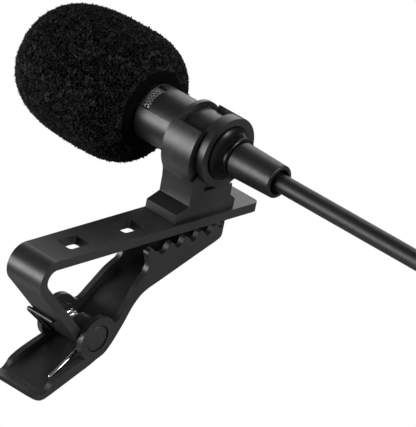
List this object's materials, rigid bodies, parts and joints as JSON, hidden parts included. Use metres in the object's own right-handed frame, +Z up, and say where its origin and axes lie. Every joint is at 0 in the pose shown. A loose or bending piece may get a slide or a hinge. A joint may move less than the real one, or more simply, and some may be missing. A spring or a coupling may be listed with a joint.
{
  "type": "lavalier microphone",
  "caption": "Lapel microphone with foam windscreen in a collar holder on a sprung toothed tie clip, with a tied cable and a four-pole mini jack plug.",
  "frame": {"origin": "on the strap's inner face, in the middle of the row of teeth and of the strap's width", "axes": "+X to the nose of the clip, +Z up the microphone's axis to the windscreen, the microphone on the -Y side of the strap"},
  "size_m": [0.0479, 0.0453, 0.1999],
  "materials": {
    "clip_plastic": "satin moulded black",
    "jaw_plastic": "satin moulded black",
    "pin_plastic": "satin black",
    "holder_plastic": "satin moulded black",
    "spring_steel": "bright drawn wire",
    "housing_metal": "satin black",
    "mesh_steel": "perforated bright sheet",
    "grille_metal": "perforated",
    "felt": "felt",
    "capsule_aluminium": "drawn",
    "diaphragm_gold": "gilt film",
    "gasket_rubber": "matt",
    "board_green": "solder mask",
    "lead_red": "insulation",
    "cap_plastic": "satin black",
    "relief_rubber": "soft satin",
    "foam": "open-cell foam",
    "cable_rubber": "satin jacket",
    "tie_rubber": "woven strap",
    "plug_black": "satin black",
    "contact_gold": "gold plated"
  },
  "bodies": {
    "clip": {"clip_strap": "clip_plastic", "pivot_pin": "pin_plastic", "pivot_cap": "pin_plastic", "torsion_spring": "spring_steel", "mic_holder": "holder_plastic"},
    "jaw": {"lower_jaw": "jaw_plastic"},
    "mic": {"body_shell": "housing_metal", "front_ring": "housing_metal", "side_mesh": "mesh_steel", "front_grille": "grille_metal", "dust_felt": "felt", "capsule_can": "capsule_aluminium", "capsule_diaphragm": "diaphragm_gold", "capsule_gasket": "gasket_rubber", "capsule_board": "board_green", "lead_wires": "lead_red", "rear_cap": "cap_plastic", "cable_crimp": "spring_steel", "strain_relief": "relief_rubber", "cable": "cable_rubber", "cable_hank": "cable_rubber", "cable_tie": "tie_rubber", "plug_relief": "plug_black", "plug_barrel": "plug_black", "plug_sleeve": "contact_gold", "plug_ring_2": "contact_gold", "plug_ring_1": "contact_gold", "plug_tip": "contact_gold", "plug_insulators": "plug_black"},
    "foam": {"windscreen": "foam"}
  },
  "joints": [
    {"name": "jaw_hinge", "type": "hinge", "parent": "clip", "child": "jaw", "pos_m": [-0.0173, 0.01325, 0], "axis": [0, 0, 1], "range_deg": [0, 28], "stiffness_Nm_per_rad": 0.05, "springref_deg": -28.65, "deforming": ["torsion_spring"]},
    {"name": "mic_turn", "type": "hinge", "parent": "clip", "child": "mic", "pos_m": [0.0044, -0.0121, 0], "axis": [0, 0, 1], "range_deg": [-180, 180]},
    {"name": "windscreen_slide", "type": "slide", "parent": "mic", "child": "foam", "axis": [0, 0, 1], "range_m": [0, 0.025]}
  ]
}
